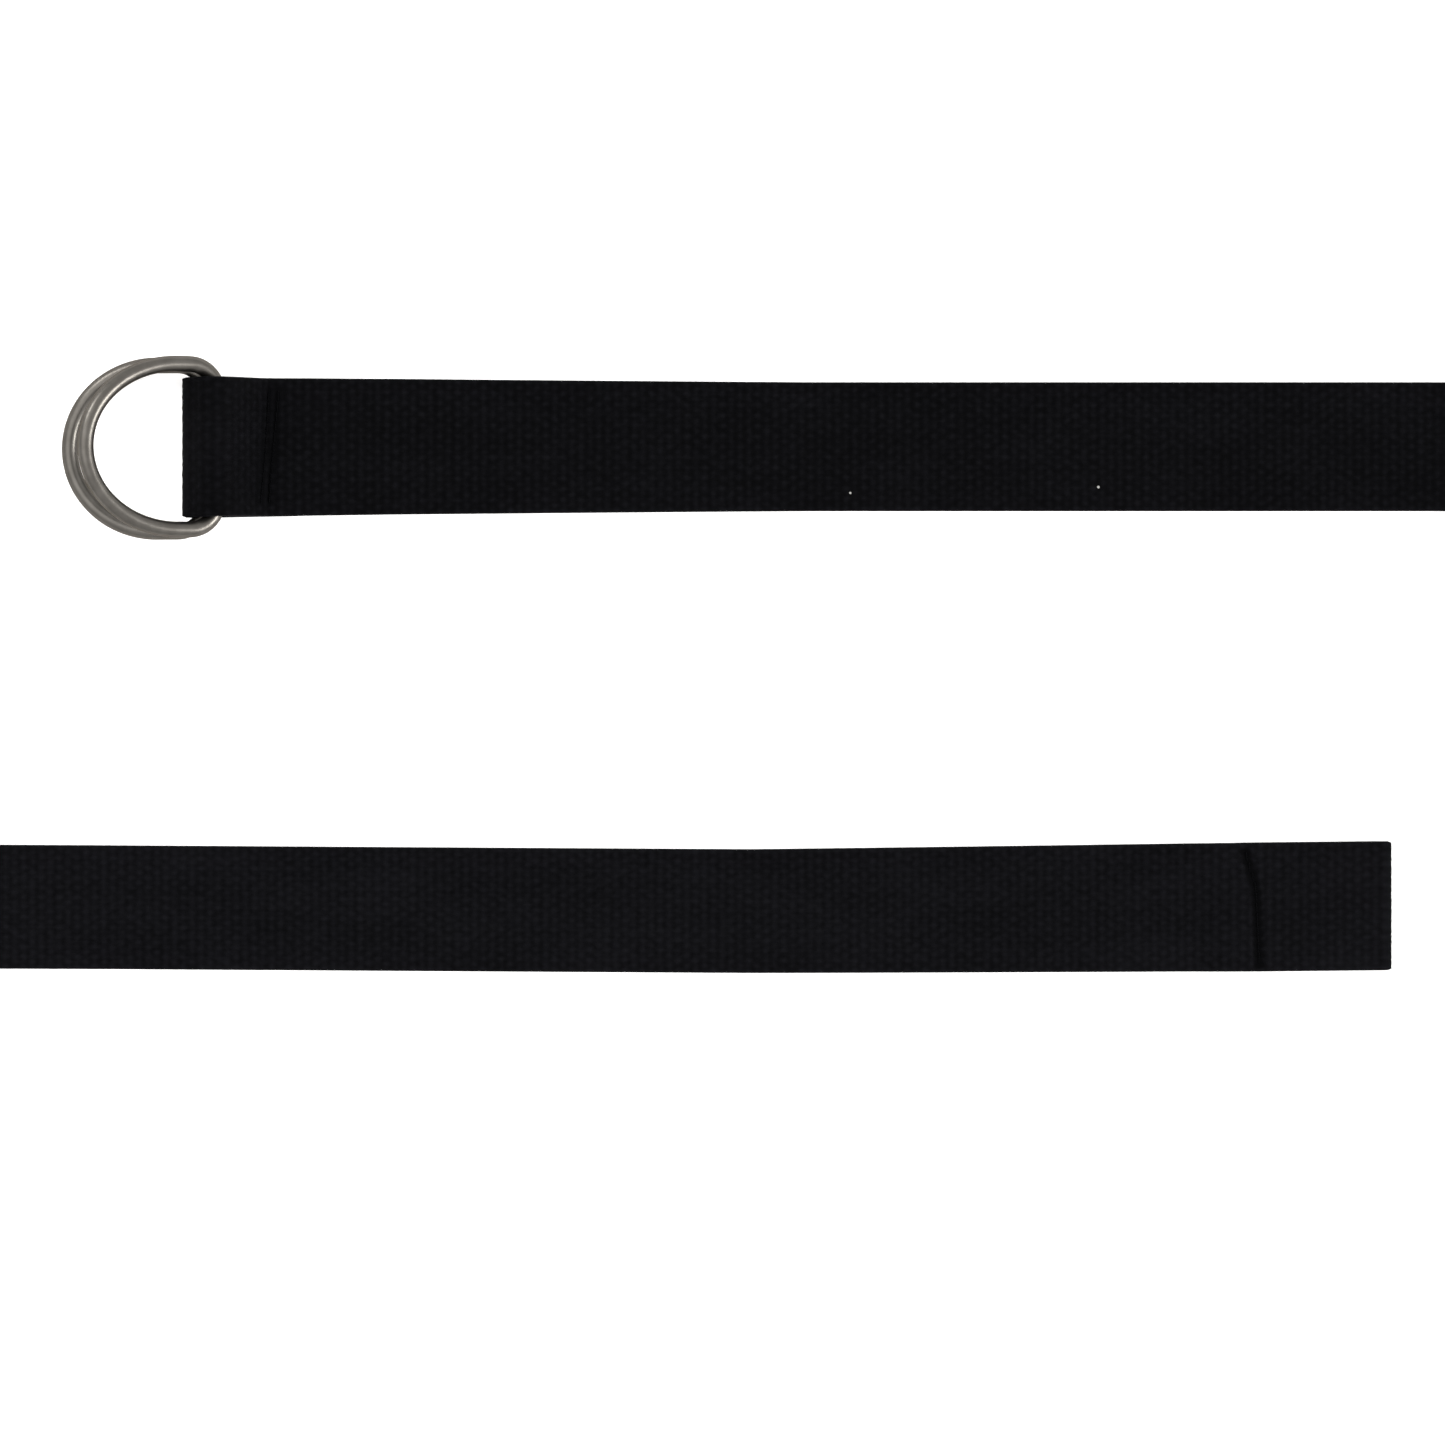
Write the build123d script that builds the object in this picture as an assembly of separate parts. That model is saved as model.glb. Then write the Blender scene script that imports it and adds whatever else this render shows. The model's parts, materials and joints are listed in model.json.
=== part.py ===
from build123d import *
from math import asin, cos, degrees, hypot, radians, sin, sqrt
import os

# Stretching strap with two D-rings, laid flat on a table.
#
# One length of 38 mm woven webbing is folded back round the straight bars of two welded
# D-rings and sewn down, which makes the head. The other end, the tail, is folded under and
# sewn as a hem. The strap lies in five straight runs with four flat 45 degree folds: head
# run, right run, far run, left run and tail run. At each fold the outgoing run lies on the
# incoming one and then comes down to the table.
#
# Frame: millimetres, +Z up, the table at Z = 0, +X along the head run away from the rings,
# origin at the middle of the footprint.

# Webbing
WEBBING_WIDTH = 38.0
WEBBING_THICKNESS = 2.6
PLY_GAP = 0.3            # air left between two plies where they only lie on each other
HALF_WIDTH = WEBBING_WIDTH / 2
UPPER_LEVEL = WEBBING_THICKNESS + PLY_GAP

# D-rings, both the same: a bar, two rounded corners, two short arms and a half-round crown
RING_WIRE = 4.7
RING_WIDTH = 53.2        # over the arms
RING_DEPTH = 45.5        # from the back of the bar to the top of the crown
RING_CORNER = 12.0       # outside radius between bar and arm
WIRE_RADIUS = RING_WIRE / 2
ARM_OFFSET = (RING_WIDTH - RING_WIRE) / 2
CORNER_RADIUS = RING_CORNER - WIRE_RADIUS
CROWN_REACH = RING_DEPTH - RING_WIRE

# Head loop: the pocket leaves each ring free to swing on its bar. The corners of a ring
# sweep further than its bar, so the pocket radii are larger than the wire.
LOWER_POCKET = 4.7
UPPER_POCKET = 4.35
FOLD_X = -158.9          # outside of the head fold
BAR_SPACING_X = 3.35
BAR_SPACING_Z = 4.15
UPPER_RING_TILT = 24.0   # the upper ring stands open from the table
LOWER_RING_SHIFT = -0.6  # each ring sits a little to one side of the loop
UPPER_RING_SHIFT = 0.2

# Seams and hem
HEAD_SEAM_X = -131.5     # middle of the two rows of the head seam
HEAD_ROWS = (-1.5, 1.5)
TAIL_ROWS = (0.0,)
SEAM_MARGIN = 3.5        # from a row to the point where the plies part
PLY_OVERRUN = 6.5        # from the middle of a seam to the cut end of the under ply
HEM_LENGTH = 39.6        # from the tail seam to the folded tail end
STITCH_PITCH = 3.0
STITCHES = 11
THREAD_RADIUS = 0.25
LEG_RADIUS = 0.2         # the thread is drawn thinner where it goes through the webbing
NEEDLE_HOLE_RADIUS = 0.35
GROOVE_WIDTH = 0.8
THREAD_GAP = 0.02        # between needle thread and bobbin thread at their crossing

# Layout of the runs, by their centre lines
SIDE_X = 240.0           # right run and left run
HEAD_TO_FAR = 322.5
HEAD_TO_TAIL = 135.9
TAIL_END_X = 197.1
FOLD_LAP = 3.0           # flat length past a fold before the ramp starts
RAMP = 40.0              # length over which a run comes down to the table
HEAD_RAMP = 24.0
HEM_RAMP = 16.0

# The footprint reaches from the far run's edge to the upper ring's arm, and its middle is
# the origin.
HEAD_Y = (HEAD_TO_FAR + HALF_WIDTH - RING_WIDTH / 2 - UPPER_RING_SHIFT) / 2
FAR_Y = HEAD_Y - HEAD_TO_FAR
TAIL_Y = HEAD_Y - HEAD_TO_TAIL

# Ring bars and the seams that follow from the values above
LOWER_BAR_X = FOLD_X + WEBBING_THICKNESS + LOWER_POCKET
LOWER_BAR_Z = WEBBING_THICKNESS + LOWER_POCKET
UPPER_BAR_X = LOWER_BAR_X + BAR_SPACING_X
UPPER_BAR_Z = LOWER_BAR_Z + BAR_SPACING_Z
LOWER_RING_TILT = -degrees(asin((LOWER_BAR_Z - WIRE_RADIUS) / CROWN_REACH))
POCKET_TIP_X = HEAD_SEAM_X - SEAM_MARGIN
HEAD_CUT_X = HEAD_SEAM_X + PLY_OVERRUN
TAIL_SEAM_X = TAIL_END_X - HEM_LENGTH
TAIL_CUT_X = TAIL_SEAM_X - PLY_OVERRUN


def run_plane(point, direction):
    """Upright plane along a run: local x along the run, local y up."""
    along = Vector(*direction, 0)
    return Plane(origin=(*point, 0), x_dir=along, z_dir=along.cross(Vector(0, 0, 1)))


def ribbon(plane, underside):
    """Webbing of full width over an underside given as (distance, height) points."""
    topside = [(s, z + WEBBING_THICKNESS) for s, z in reversed(underside)]
    outline = Polyline(*underside, *topside, close=True)
    return extrude(plane * make_face(outline), amount=HALF_WIDTH, both=True)


def beyond_crease(corner, outward):
    """Everything on the outer side of the 45 degree crease through a corner."""
    reach = 100.0
    x, y = corner
    shift = reach / sqrt(2)
    place = Pos(x + outward[0] * shift, y + outward[1] * shift, 0)
    return place * Rot(0, 0, 45) * Box(2 * reach, 2 * reach, reach)


def crease(corner, outward):
    """The webbing's turn over itself along a crease."""
    outer = WEBBING_THICKNESS + PLY_GAP / 2
    length = WEBBING_WIDTH * sqrt(2)
    crease_angle = 45.0 if outward[0] * outward[1] < 0 else -45.0
    tube = Cylinder(outer, length) - Cylinder(PLY_GAP / 2, length)
    tube = Pos(*corner, outer) * Rot(0, 0, crease_angle) * Rot(0, 90, 0) * tube
    square = Pos(*corner, outer) * Box(WEBBING_WIDTH, WEBBING_WIDTH, 4 * outer)
    return (tube & beyond_crease(corner, outward)) & square


def folded_run(start, end, direction, length, start_side, end_side):
    """A run between two creases: it starts on the upper level and ends on the table."""
    landing = HALF_WIDTH + FOLD_LAP
    underside = [
        (-HALF_WIDTH, UPPER_LEVEL),
        (landing, UPPER_LEVEL),
        (landing + RAMP, 0),
        (length + HALF_WIDTH, 0),
    ]
    run = ribbon(run_plane(start, direction), underside)
    return run - beyond_crease(start, start_side) - beyond_crease(end, end_side)


def head_loop():
    """The fold-back round both bars, and the under ply as far as its cut end."""
    front = run_plane((0, HEAD_Y), (1, 0))
    lower = Pos(LOWER_BAR_X, LOWER_BAR_Z) * Circle(LOWER_POCKET)
    upper = Pos(UPPER_BAR_X, UPPER_BAR_Z) * Circle(UPPER_POCKET)
    tip = Line((POCKET_TIP_X - 1, WEBBING_THICKNESS), (POCKET_TIP_X, WEBBING_THICKNESS))
    pocket = make_hull([*lower.edges(), *upper.edges(), tip])
    wrap = offset(pocket, amount=WEBBING_THICKNESS) - pocket
    loop = extrude(front * wrap, amount=HALF_WIDTH, both=True)
    under_ply = ribbon(front, [(POCKET_TIP_X - 1, 0), (HEAD_CUT_X, 0)])
    return loop + under_ply


def head_run():
    """From the head seam to the first fold, coming down off the under ply."""
    corner = (SIDE_X, HEAD_Y)
    underside = [
        (POCKET_TIP_X, WEBBING_THICKNESS),
        (HEAD_CUT_X + 1, WEBBING_THICKNESS),
        (HEAD_CUT_X + HEAD_RAMP, 0),
        (SIDE_X + HALF_WIDTH, 0),
    ]
    run = ribbon(run_plane((0, HEAD_Y), (1, 0)), underside)
    return run - beyond_crease(corner, (1, 1))


def tail_run():
    """From the last fold to the hem, rising onto the ply that is folded under."""
    corner = (-SIDE_X, TAIL_Y)
    landing = HALF_WIDTH + FOLD_LAP - SIDE_X
    bend_x = TAIL_END_X - WEBBING_THICKNESS
    underside = [
        (-SIDE_X - HALF_WIDTH, UPPER_LEVEL),
        (landing, UPPER_LEVEL),
        (landing + RAMP, 0),
        (TAIL_CUT_X - HEM_RAMP, 0),
        (TAIL_CUT_X - 1, WEBBING_THICKNESS),
        (bend_x, WEBBING_THICKNESS),
    ]
    front = run_plane((0, TAIL_Y), (1, 0))
    run = ribbon(front, underside) - beyond_crease(corner, (-1, 1))
    under_ply = ribbon(front, [(TAIL_CUT_X, 0), (bend_x, 0)])
    bend = Pos(bend_x, TAIL_Y, WEBBING_THICKNESS) * Rot(90, 0, 0)
    bend = bend * Cylinder(WEBBING_THICKNESS, WEBBING_WIDTH)
    slot_start = TAIL_SEAM_X + SEAM_MARGIN
    slot = Box(bend_x - slot_start, WEBBING_WIDTH, PLY_GAP)
    slot = Pos((slot_start + bend_x) / 2, TAIL_Y, WEBBING_THICKNESS) * slot
    return run + under_ply + bend - slot


def stitch_holes(seam_x, run_y, rows):
    """Needle holes and the shallow grooves that the two threads pull into the webbing."""
    depth = 2 * WEBBING_THICKNESS
    length = STITCHES * STITCH_PITCH + GROOVE_WIDTH
    groove = Box(GROOVE_WIDTH, length, 4 * THREAD_RADIUS)
    hole = Cylinder(NEEDLE_HOLE_RADIUS, depth)
    cuts = []
    for row in rows:
        x = seam_x + row
        cuts += [Pos(x, run_y, 0) * groove, Pos(x, run_y, depth) * groove]
        for y in stitch_ends(run_y):
            cuts.append(Pos(x, y, depth / 2) * hole)
    return cuts


def stitch_ends(run_y):
    """Where the needle went through, across the webbing."""
    first = run_y - STITCHES * STITCH_PITCH / 2
    return [first + i * STITCH_PITCH for i in range(STITCHES + 1)]


def thread(seam_x, run_y, rows, surface, side):
    """One thread of a lockstitch, row by row. side is 1 on the top and -1 underneath."""
    solids = []
    line_z = surface - side * THREAD_RADIUS
    leg_end = WEBBING_THICKNESS + side * THREAD_GAP
    leg = Cylinder(LEG_RADIUS, abs(line_z - leg_end))
    length = STITCHES * STITCH_PITCH + 2 * THREAD_RADIUS
    line = Rot(90, 0, 0) * Cylinder(THREAD_RADIUS, length)
    for row in rows:
        x = seam_x + row
        strand = Pos(x, run_y, line_z) * line
        for y in stitch_ends(run_y):
            strand += Pos(x, y, (line_z + leg_end) / 2) * leg
        solids.append(strand.solid())
    return solids


def d_ring():
    """A closed ring with its bar on the Y axis and its crown towards -X."""
    bar = ARM_OFFSET - CORNER_RADIUS
    arm_end = ARM_OFFSET - CROWN_REACH
    path = Wire([
        Line((0, -bar), (0, bar)),
        CenterArc((-CORNER_RADIUS, bar), CORNER_RADIUS, 0, 90),
        Line((-CORNER_RADIUS, ARM_OFFSET), (arm_end, ARM_OFFSET)),
        CenterArc((arm_end, 0), ARM_OFFSET, 90, 180),
        Line((arm_end, -ARM_OFFSET), (-CORNER_RADIUS, -ARM_OFFSET)),
        CenterArc((-CORNER_RADIUS, -bar), CORNER_RADIUS, -90, 90),
    ])
    section = Plane(origin=(0, -bar, 0), z_dir=(0, 1, 0)) * Circle(WIRE_RADIUS)
    return sweep(section, path=path)


def webbing():
    """The whole length of webbing."""
    top_right = (SIDE_X, HEAD_Y)
    bottom_right = (SIDE_X, FAR_Y)
    bottom_left = (-SIDE_X, FAR_Y)
    top_left = (-SIDE_X, TAIL_Y)
    across = 2 * SIDE_X
    back = HEAD_TO_FAR - HEAD_TO_TAIL
    body = head_loop() + head_run()
    body += crease(top_right, (1, 1))
    body += folded_run(top_right, bottom_right, (0, -1), HEAD_TO_FAR, (1, 1), (1, -1))
    body += crease(bottom_right, (1, -1))
    body += folded_run(bottom_right, bottom_left, (-1, 0), across, (1, -1), (-1, -1))
    body += crease(bottom_left, (-1, -1))
    body += folded_run(bottom_left, top_left, (0, 1), back, (-1, -1), (-1, 1))
    body += crease(top_left, (-1, 1))
    body += tail_run()
    body -= stitch_holes(HEAD_SEAM_X, HEAD_Y, HEAD_ROWS)
    body -= stitch_holes(TAIL_SEAM_X, TAIL_Y, TAIL_ROWS)
    return body


def save(name, shape):
    """Write one node."""
    export_step(shape, f"parts/{name}.step")


os.makedirs("parts", exist_ok=True)

lower_place = Pos(LOWER_BAR_X, HEAD_Y + LOWER_RING_SHIFT, LOWER_BAR_Z)
upper_place = Pos(UPPER_BAR_X, HEAD_Y + UPPER_RING_SHIFT, UPPER_BAR_Z)
top = 2 * WEBBING_THICKNESS

save("webbing", webbing())
save("ring_lower", lower_place * Rot(0, LOWER_RING_TILT, 0) * d_ring())
save("ring_upper", upper_place * Rot(0, UPPER_RING_TILT, 0) * d_ring())
save("head_needle_thread", Compound(thread(HEAD_SEAM_X, HEAD_Y, HEAD_ROWS, top, 1)))
save("head_bobbin_thread", Compound(thread(HEAD_SEAM_X, HEAD_Y, HEAD_ROWS, 0, -1)))
save("tail_needle_thread", Compound(thread(TAIL_SEAM_X, TAIL_Y, TAIL_ROWS, top, 1)))
save("tail_bobbin_thread", Compound(thread(TAIL_SEAM_X, TAIL_Y, TAIL_ROWS, 0, -1)))

# Finished length along the centre line, from the head fold to the tail end.
finished = (SIDE_X - FOLD_X) + HEAD_TO_FAR + 2 * SIDE_X
finished += (HEAD_TO_FAR - HEAD_TO_TAIL) + (SIDE_X + TAIL_END_X)
print(f"finished length {finished:.1f} mm, bars at "
      f"{LOWER_BAR_X:.2f}, {LOWER_BAR_Z:.2f} and {UPPER_BAR_X:.2f}, {UPPER_BAR_Z:.2f}")
print(f"bar distance {hypot(BAR_SPACING_X, BAR_SPACING_Z):.2f} mm, "
      f"head Y {HEAD_Y:.2f}, lower ring tilt {LOWER_RING_TILT:.2f}")
print(f"crown of the lower ring at X {LOWER_BAR_X - CROWN_REACH * cos(radians(LOWER_RING_TILT)):.2f}, "
      f"upper at Z {UPPER_BAR_Z + CROWN_REACH * sin(radians(UPPER_RING_TILT)):.2f}")
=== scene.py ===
import json
import math

import bmesh
import bpy
import numpy as np
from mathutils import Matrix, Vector


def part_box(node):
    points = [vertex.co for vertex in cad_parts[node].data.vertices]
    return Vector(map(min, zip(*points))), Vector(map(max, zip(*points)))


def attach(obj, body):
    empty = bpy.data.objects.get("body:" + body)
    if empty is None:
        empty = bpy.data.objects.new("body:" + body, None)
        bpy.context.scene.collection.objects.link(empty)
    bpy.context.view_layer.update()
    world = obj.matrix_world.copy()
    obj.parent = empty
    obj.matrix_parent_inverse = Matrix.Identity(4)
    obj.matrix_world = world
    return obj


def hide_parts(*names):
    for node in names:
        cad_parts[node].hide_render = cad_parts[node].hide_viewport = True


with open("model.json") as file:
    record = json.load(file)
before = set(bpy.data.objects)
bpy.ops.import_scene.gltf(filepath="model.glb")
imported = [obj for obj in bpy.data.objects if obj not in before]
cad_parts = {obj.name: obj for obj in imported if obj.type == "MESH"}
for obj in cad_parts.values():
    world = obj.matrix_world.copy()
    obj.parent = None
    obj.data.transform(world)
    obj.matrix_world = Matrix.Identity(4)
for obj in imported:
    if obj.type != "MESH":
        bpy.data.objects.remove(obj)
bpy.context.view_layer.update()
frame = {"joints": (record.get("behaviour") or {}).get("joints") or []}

# ---------------------------------------------------------------------------
# Sizes, in metres
# ---------------------------------------------------------------------------
MM = 0.001

# Webbing
WIDTH = 38 * MM
HALF = WIDTH / 2
THICK = 2.6 * MM
PLY_GAP = 0.3 * MM
UPPER_LEVEL = THICK + PLY_GAP
RIBS = 25                      # warp ribs across the webbing
RIB = WIDTH / RIBS
REPEAT = 5.2 * MM              # two picks along the webbing
STATION = REPEAT / 4           # spacing of the mesh along the webbing
RELIEF = 0.34 * MM             # height of the ribs over their grooves
LOOSENESS = 0.9                # unevenness of that relief
OUTERMOST = 0.983              # last vertices of a face, as a share of the half width
CLOSEST_ROWS = 0.15 * MM       # rows of the mesh nearer than this become one
FOLD_RADIUS = UPPER_LEVEL / 2  # middle of the webbing where it turns over itself

# Head loop, round the two ring bars
LOWER_POCKET = 4.7 * MM
UPPER_POCKET = 4.35 * MM
SEAM_TO_TIP = 3.5 * MM
SEAM_TO_CUT = 6.5 * MM
HEAD_RAMP = 24 * MM
HEAD_ROWS = (-1.5 * MM, 1.5 * MM)
HOLLOW = 3 * MM                # bend between the loop's slope and the strap
RAMP_START = 1 * MM            # flat length past the under ply's cut end

# Tail hem
HEM = 39.6 * MM
HEM_RAMP = 16 * MM

# Flat folds of the strap
FOLD_LAP = 3 * MM
RAMP = 40 * MM

# How the laid strap strays from an even width and from straight runs
HEAD_SPREAD = 1.6 * MM         # added to the half width at the head loop,
SPREAD_OVER = 185 * MM         # and gone this far along
TAIL_NARROWING = 0.75 * MM     # taken from the half width by the tail run's waist,
RECOVERY = 150 * MM            # and back this far past it
TAIL_WAIST = 8 * MM            # place of the waist on the tail run
BOW_BEFORE = (1.33 * MM, 219 * MM, 1.05)  # tail run before the waist: rise, over, power
BOW_AFTER = (1.63 * MM, 187 * MM, 1.15)   # and past it
BOW_SINK = 0.83 * MM           # the tail run's bow lies this far to the right
BOW_START = 130 * MM           # where it begins, before the last fold
BOW_EASE = 100 * MM
HEAD_BOW = 0.45 * MM           # of the head run, at the loop
HEAD_BOW_OVER = 60 * MM

# D-rings
WIRE = 4.7 * MM / 2
LOWER_RING_WIDTH = 53.6 * MM
UPPER_RING_WIDTH = 53.2 * MM
LOWER_RING_SLACK = 0.2         # share of the straight arms that has gone into a longer crown
UPPER_RING_SLACK = 0.5
LOWER_RING_SHIFT = -0.1 * MM   # to one side, from the middle of the CAD ring
UPPER_RING_SHIFT = -0.65 * MM
RING_REACH = 45.5 * MM - 2 * WIRE
RING_CORNER = 11.2 * MM - WIRE
RING_SETBACK = 0.25 * MM       # the bar lies behind its joint: the corners clear the loop
UPPER_TILT = math.radians(24)

# Seams
PITCH = 3 * MM
STITCHES = 11
THREAD = 0.25 * MM
ARCH = 0.3 * MM                # rise of a stitch in its middle, and its dip at the ends
NEEDLE_DEPTH = 0.62 * MM       # of the needle thread's stitches where the seam pulls fully
SEAM_DENT = 0.75 * MM          # how far a seam draws the upper face in
HIDDEN_DENT = 0.3 * MM         # the same on the under plies,
HEAD_UNDER = 30 * MM           # which reach this far from the strap's two cut ends
TAIL_UNDER = 40 * MM
BOBBIN_DEPTH = THREAD + 0.05 * MM
WANDER = 0.07                  # largest turn of a stitch, in radians

# Specks of lint on the head run: (along, across), their solid core, edge and raggedness
LINT = ((37.6 * MM, -13.6 * MM), (110.6 * MM, -11.9 * MM))
LINT_CORE = 0.2 * MM
LINT_EDGE = 0.45 * MM
LINT_RAGGED = 0.6 * MM

# View
VIEW_SIZE = 425.7 * MM
VIEW_DROP = 81.2 * MM          # from the head run down to the middle of the view
CAMERA_HEIGHT = 2.5
SENSOR = 36.0

# Lights in the room: (towards it, cosine at its edge, cosine at its core, strength)
LIGHTS = (
    ((-0.46, 0.10, 0.87), 0.82, 0.98, 1.7),
    ((0.89, -0.19, 0.42), 0.972, 0.996, 30.0),
    ((-0.61, 0.61, 0.50), 0.978, 0.996, 16.0),
)

# ---------------------------------------------------------------------------
# Places, read from the frame
# ---------------------------------------------------------------------------
joint_at = {j["name"]: Vector(j["pos_m"]) for j in frame["joints"]}
lower_bar = joint_at["lower_ring_swing"]
upper_bar = joint_at["upper_ring_swing"]
webbing_low, webbing_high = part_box("webbing")


def middle(node):
    """Centre of a CAD node's box."""
    low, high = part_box(node)
    return (low + high) / 2


head_seam = middle("head_needle_thread")
tail_seam = middle("tail_needle_thread")
HEAD_Y = head_seam.y
TAIL_Y = tail_seam.y
FAR_Y = webbing_low.y + HALF
SIDE_X = webbing_high.x - HALF
TAIL_END_X = tail_seam.x + HEM
FOLD_X = lower_bar.x - LOWER_POCKET - THICK

# Distance along the webbing at each flat fold, counted from X = 0 on the head run
FOLD_HEADINGS = (Vector((1, 0)), Vector((0, -1)), Vector((-1, 0)), Vector((0, 1)), Vector((1, 0)))
FOLD_CORNERS = (
    Vector((SIDE_X, HEAD_Y)),
    Vector((SIDE_X, FAR_Y)),
    Vector((-SIDE_X, FAR_Y)),
    Vector((-SIDE_X, TAIL_Y)),
)
FOLD_AT = [SIDE_X]
for here, following in zip(FOLD_CORNERS, FOLD_CORNERS[1:]):
    FOLD_AT.append(FOLD_AT[-1] + (following - here).length)
TAIL_START = FOLD_AT[-1] + SIDE_X      # distance at X = 0 on the tail run
HEAD_JOIN = -100 * MM                  # the side views of head and hem join the runs here
TAIL_JOIN = TAIL_START + 130 * MM


# ---------------------------------------------------------------------------
# Node trees
# ---------------------------------------------------------------------------
class Wire:
    """A node's output socket. Arithmetic on it adds Math nodes to its tree."""

    def __init__(self, tree, socket):
        self.tree = tree
        self.socket = socket

    def out(self, name):
        """Another output of the same node."""
        return Wire(self.tree, self.socket.node.outputs[name])

    def math(self, operation, *others):
        return self.tree.math(operation, self, *others)

    def __add__(self, other):
        return self.tree.math("ADD", self, other)

    def __radd__(self, other):
        return self.tree.math("ADD", other, self)

    def __sub__(self, other):
        return self.tree.math("SUBTRACT", self, other)

    def __rsub__(self, other):
        return self.tree.math("SUBTRACT", other, self)

    def __mul__(self, other):
        return self.tree.math("MULTIPLY", self, other)

    def __rmul__(self, other):
        return self.tree.math("MULTIPLY", other, self)

    def __neg__(self):
        return self.tree.math("MULTIPLY", self, -1.0)


class Tree:
    """Adds nodes to a shader or geometry tree."""

    def __init__(self, node_tree):
        self.node_tree = node_tree

    def node(self, kind, settings=None, sockets=None, output=0):
        """One node: its settings first, then the values or links of its sockets."""
        made = self.node_tree.nodes.new(kind)
        for name, value in (settings or {}).items():
            setattr(made, name, value)
        for name, value in (sockets or {}).items():
            self.feed(self.find(made.inputs, name), value)
        return Wire(self, self.find(made.outputs, output)) if made.outputs else made

    @staticmethod
    def find(sockets, name):
        if isinstance(name, int):
            return sockets[name]
        for socket in sockets:
            if socket.identifier == name:
                return socket
        return sockets[name]

    def feed(self, socket, value):
        if isinstance(value, Wire):
            self.node_tree.links.new(value.socket, socket)
        else:
            socket.default_value = value

    def math(self, operation, *values):
        return self.node("ShaderNodeMath", {"operation": operation}, dict(enumerate(values)))

    def vector(self, x, y, z):
        return self.node("ShaderNodeCombineXYZ", None, {"X": x, "Y": y, "Z": z})

    def ramp(self, value, low, high, to_low=0.0, to_high=1.0):
        """to_low below low, to_high above high, and a smooth change between."""
        return self.node(
            "ShaderNodeMapRange",
            {"interpolation_type": "SMOOTHSTEP"},
            {"Value": value, "From Min": low, "From Max": high, "To Min": to_low, "To Max": to_high},
        )

    def blend(self, factor, first, second):
        """A colour between two colours."""
        return self.node(
            "ShaderNodeMix",
            {"data_type": "RGBA"},
            {"Factor_Float": factor, "A_Color": first, "B_Color": second},
            "Result_Color",
        )


def new_material(name):
    """A material with an empty tree: returns it, its tree and its output's Surface socket."""
    material = bpy.data.materials.new(name)
    material.use_nodes = True
    material.node_tree.nodes.clear()
    output = material.node_tree.nodes.new("ShaderNodeOutputMaterial")
    return material, Tree(material.node_tree), output.inputs["Surface"]


def woven_face(tree, along, across):
    """Height of the weave, about 0 to 1, from flat coordinates: floats set like bricks."""
    length_turn = along * (math.tau / REPEAT)
    width_turn = across * (math.tau / (2 * RIB))
    columns = (2.0 * length_turn).math("COSINE")
    rib_pair = width_turn.math("COSINE")
    floats = length_turn.math("COSINE") * rib_pair
    grooves = (2.0 * width_turn).math("COSINE")
    return 0.5 + 0.19 * columns + 0.2 * floats + 0.05 * rib_pair + 0.06 * grooves


# ---------------------------------------------------------------------------
# Materials
# ---------------------------------------------------------------------------
def woven_polyester():
    """Black webbing: ribs, picks, loose filaments, painted shade along the seam grooves, and lint."""
    material, tree, surface = new_material("woven_polyester")
    along = tree.node("ShaderNodeAttribute", {"attribute_name": "along"}, None, "Fac")
    across = tree.node("ShaderNodeAttribute", {"attribute_name": "across"}, None, "Fac")
    seam = tree.node("ShaderNodeAttribute", {"attribute_name": "seam"}, None, "Fac")
    yarn = woven_face(tree, along, across)

    # Filaments run along the yarns, so their noise is stretched that way.
    flat = tree.vector(along * 900.0, across * 7000.0, 0.0)
    filament = tree.node("ShaderNodeTexNoise", None, {"Vector": flat, "Scale": 1.0, "Detail": 3.0})
    place = tree.vector(along * 35.0, across * 90.0, 1.7)
    cloud = tree.node("ShaderNodeTexNoise", None, {"Vector": place, "Scale": 1.0, "Detail": 2.0})
    fuzz_place = tree.vector(along * 420.0, across * 520.0, 4.1)
    fuzz = tree.node("ShaderNodeTexNoise", None, {"Vector": fuzz_place, "Scale": 1.0, "Detail": 4.0})

    # The webbing is a little paler towards the tail end.
    paler_to_tail = tree.ramp(along, 0.3, 1.3)
    # Weave crests are painted lighter and grooves darker: partly worn rib tops, partly painted sheen on
    # the crests and painted shade in the grooves.
    lightness = 0.42 * yarn + 0.25 * filament + 0.33 * cloud + 0.65 * fuzz + 0.14 * paler_to_tail
    # Painted shade: the seam grooves are painted down to the darkest colour.
    lightness = (lightness - 0.53) * (1.0 - 0.95 * tree.ramp(seam, 0.05, 0.75))
    colour = tree.blend(
        tree.ramp(lightness, 0.0, 1.0), (0.0005, 0.0005, 0.0007, 1), (0.0040, 0.0040, 0.0051, 1)
    )
    for lint_along, lint_across in LINT:
        square = (along - lint_along).math("POWER", 2.0)
        square = square + (across - lint_across).math("POWER", 2.0)
        gap = square.math("SQRT") + LINT_RAGGED * (fuzz - 0.5)
        speck = tree.ramp(gap, LINT_CORE, LINT_EDGE, 0.5, 0.0)
        colour = tree.blend(speck, colour, (0.5, 0.5, 0.48, 1))
    height = 0.35 * filament + 0.4 * fuzz + 0.4 * yarn
    bump = tree.node(
        "ShaderNodeBump", None, {"Strength": 0.5, "Distance": 0.12 * MM, "Height": height}
    )
    shader = tree.node(
        "ShaderNodeBsdfPrincipled",
        None,
        {
            "Base Color": colour,
            "Roughness": 0.86 - 0.2 * filament,
            "Specular IOR Level": 0.02,
            "Sheen Weight": 0.005,
            "Sheen Roughness": 0.45,
            "Sheen Tint": (0.75, 0.8, 1.0, 1),
            "Normal": bump,
        },
    )
    tree.feed(surface, shader)
    return material


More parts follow.
